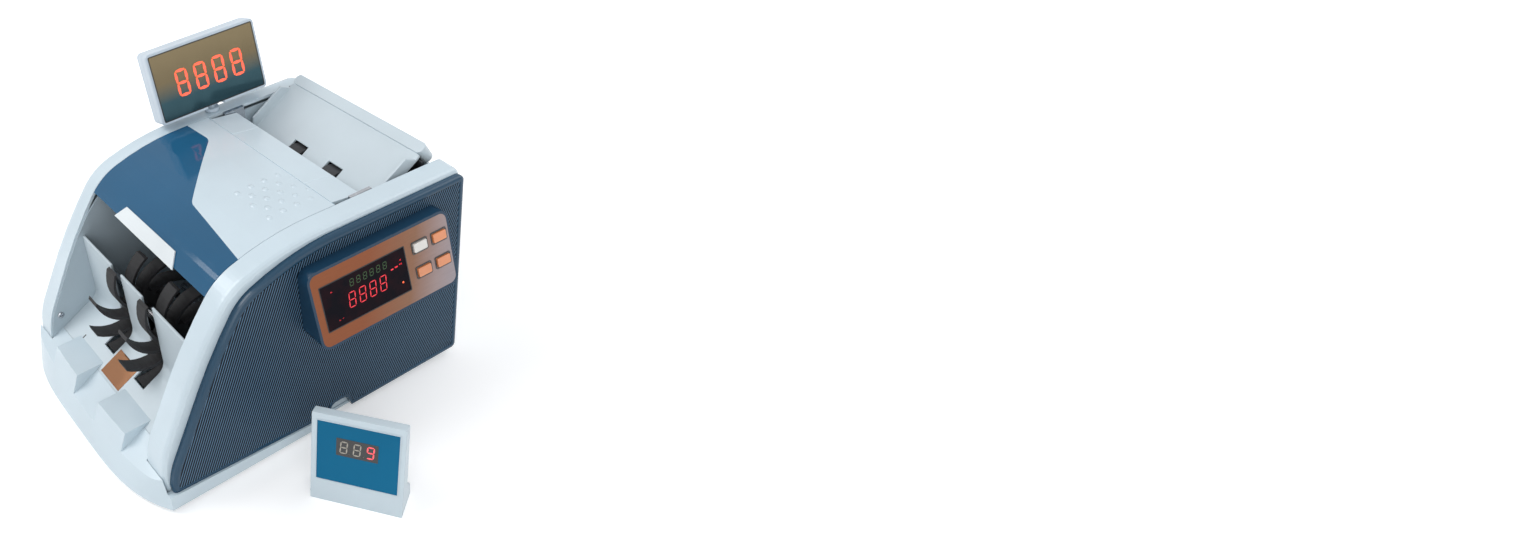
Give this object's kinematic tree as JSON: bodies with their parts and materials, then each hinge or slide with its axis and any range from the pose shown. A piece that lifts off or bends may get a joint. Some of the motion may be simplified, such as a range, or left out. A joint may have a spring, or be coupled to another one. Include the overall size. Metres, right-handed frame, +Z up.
{
  "type": "banknote counting machine",
  "caption": "Desktop banknote counter with rear hopper, front stacker, side control panel, swivelling pop-up display and separate desk display.",
  "frame": {"origin": "middle of the whole set's bounding box, on the desk", "axes": "+X towards the control-panel side, +Y towards the rear, +Z up; notes come out at -Y"},
  "size_m": [0.3568, 0.3146, 0.2463],
  "materials": {
    "pale_plastic": "satin moulded",
    "inner_plastic": "satin moulded",
    "navy_plastic": "ribbed, glossy rim",
    "visor_blue": "glossy",
    "chassis_paint": "satin",
    "steel": "ground",
    "chrome": "bright",
    "black_plastic": "satin",
    "black_rubber": "matt",
    "grey_rubber": "matt",
    "white_plastic": "plain, unmarked",
    "smoked_window": "smoked, mirror-like",
    "motor_steel": "satin",
    "circuit_board": "lacquered",
    "transformer_steel": "varnished",
    "red_plastic": "glossy",
    "blue_plastic": "satin",
    "brass": "turned",
    "copper_plate": "brushed copper tone",
    "control_glass": "dark, glossy",
    "white_key": "glossy",
    "orange_key": "glossy",
    "display_plastic": "satin moulded",
    "teal_panel": "printed film, bare"
  },
  "bodies": {
    "machine": {"base_tray": "pale_plastic", "feet": "black_rubber", "side_frame_left": "pale_plastic", "side_frame_right": "pale_plastic", "side_panel_left": "navy_plastic", "side_panel_right": "navy_plastic", "chassis_left": "chassis_paint", "chassis_right": "chassis_paint", "tie_rods": "steel", "stacker_tray": "inner_plastic", "stacker_window": "smoked_window", "cover_brackets": "chrome", "hopper_front": "inner_plastic", "hopper_tray": "inner_plastic", "hopper_backing": "black_plastic", "note_chute": "chassis_paint", "gap_ring": "chrome", "drive_motor": "motor_steel", "drive_belts": "black_rubber", "main_board": "circuit_board", "transformer": "transformer_steel", "rear_panel": "pale_plastic", "rear_upper_cover": "pale_plastic", "power_inlet": "black_plastic", "rocker_frame": "black_plastic", "data_port": "blue_plastic", "cover_screws": "chrome", "control_pod": "navy_plastic", "control_faceplate": "copper_plate", "control_window": "control_glass", "control_board": "circuit_board", "display_mount": "display_plastic"},
    "cover": {"top_cover": "pale_plastic", "front_visor": "visor_blue", "sign_plate": "white_plastic"},
    "pickup": {"pickup_shaft": "steel", "pickup_rollers": "grey_rubber", "pickup_pulley": "black_plastic"},
    "feed": {"feed_shaft": "steel", "feed_rollers": "grey_rubber", "feed_pulley": "black_plastic"},
    "pinch": {"pinch_shaft": "steel", "pinch_rollers": "grey_rubber"},
    "impeller": {"impeller_shaft": "steel", "impeller_wheels": "black_rubber", "impeller_pulley": "black_plastic"},
    "motor_rotor": {"motor_pulley": "steel"},
    "separator": {"retard_block": "grey_rubber"},
    "gap_adjuster": {"gap_screw": "brass"},
    "fuse_holder": {"fuse_drawer": "black_plastic"},
    "switch_rocker": {"power_rocker": "red_plastic"},
    "key_a": {"key_upper_front": "white_key"},
    "key_b": {"key_upper_rear": "orange_key"},
    "key_c": {"key_lower_front": "orange_key"},
    "key_d": {"key_lower_rear": "orange_key"},
    "display_swivel": {"display_post": "display_plastic"},
    "display": {"display_case": "display_plastic", "display_window": "smoked_window"},
    "desk_display": {"remote_case": "display_plastic", "remote_window": "teal_panel"}
  },
  "joints": [
    {"name": "cover_hinge", "type": "hinge", "parent": "machine", "child": "cover", "pos_m": [-0.05348, 0.07419, 0.171], "axis": [1, 0, 0], "range_deg": [-45, 0]},
    {"name": "feed_spin", "type": "hinge", "parent": "machine", "child": "feed", "pos_m": [-0.05348, 0.05469, 0.119], "axis": [1, 0, 0], "continuous": true},
    {"name": "pickup_spin", "type": "hinge", "parent": "machine", "child": "pickup", "pos_m": [-0.05348, 0.09847, 0.14637], "axis": [1, 0, 0], "continuous": true},
    {"name": "pinch_spin", "type": "hinge", "parent": "machine", "child": "pinch", "pos_m": [-0.05348, 0.02923, 0.13889], "axis": [1, 0, 0], "continuous": true},
    {"name": "impeller_spin", "type": "hinge", "parent": "machine", "child": "impeller", "pos_m": [-0.05348, -0.06931, 0.075], "axis": [1, 0, 0], "continuous": true},
    {"name": "motor_spin", "type": "hinge", "parent": "machine", "child": "motor_rotor", "pos_m": [-0.05348, 0.09069, 0.042], "axis": [1, 0, 0], "continuous": true},
    {"name": "gap_turn", "type": "hinge", "parent": "machine", "child": "gap_adjuster", "pos_m": [-0.05348, 0.15369, 0.10781], "axis": [0, 0.9982, -0.0593], "range_deg": [0, 360]},
    {"name": "separator_lift", "type": "slide", "parent": "machine", "child": "separator", "axis": [0, 0, 1], "range_m": [0, 0.0006]},
    {"name": "switch_rock", "type": "hinge", "parent": "machine", "child": "switch_rocker", "pos_m": [-0.08618, 0.14734, 0.06842], "axis": [0, 0.0593, 0.9982], "range_deg": [-14, 0]},
    {"name": "fuse_slide", "type": "slide", "parent": "machine", "child": "fuse_holder", "axis": [0, 0.9982, -0.0593], "range_m": [0, 0.014]},
    {"name": "key_upper_front_press", "type": "slide", "parent": "machine", "child": "key_a", "axis": [-0.9641, 0, -0.2656], "range_m": [0, 0.0012], "stiffness_N_per_m": 120, "springref_m": -0.001},
    {"name": "key_upper_rear_press", "type": "slide", "parent": "machine", "child": "key_b", "axis": [-0.9641, 0, -0.2656], "range_m": [0, 0.0012], "stiffness_N_per_m": 120, "springref_m": -0.001},
    {"name": "key_lower_front_press", "type": "slide", "parent": "machine", "child": "key_c", "axis": [-0.9641, 0, -0.2656], "range_m": [0, 0.0012], "stiffness_N_per_m": 120, "springref_m": -0.001},
    {"name": "key_lower_rear_press", "type": "slide", "parent": "machine", "child": "key_d", "axis": [-0.9641, 0, -0.2656], "range_m": [0, 0.0012], "stiffness_N_per_m": 120, "springref_m": -0.001},
    {"name": "display_turn", "type": "hinge", "parent": "machine", "child": "display_swivel", "pos_m": [-0.15599, 0.06189, 0.1865], "axis": [0, 0, -1], "range_deg": [0, 180]},
    {"name": "display_lean", "type": "hinge", "parent": "display_swivel", "child": "display", "pos_m": [-0.15599, 0.06189, 0.1865], "axis": [0, 1, 0], "range_deg": [-10, 30]},
    {"name": "desk_display_move", "type": "slide", "parent": "machine", "child": "desk_display", "axis": [1, 0, 0], "range_m": [0, 0.1]}
  ],
  "couplings": [
    {"joint": "pickup_spin", "follows": "feed_spin", "ratio": 1.6667},
    {"joint": "impeller_spin", "follows": "feed_spin", "ratio": 1.1538},
    {"joint": "motor_spin", "follows": "feed_spin", "ratio": 1.875},
    {"joint": "pinch_spin", "follows": "feed_spin", "ratio": -3},
    {"joint": "gap_turn", "follows": "separator_lift", "rad_per_m": 10472}
  ]
}
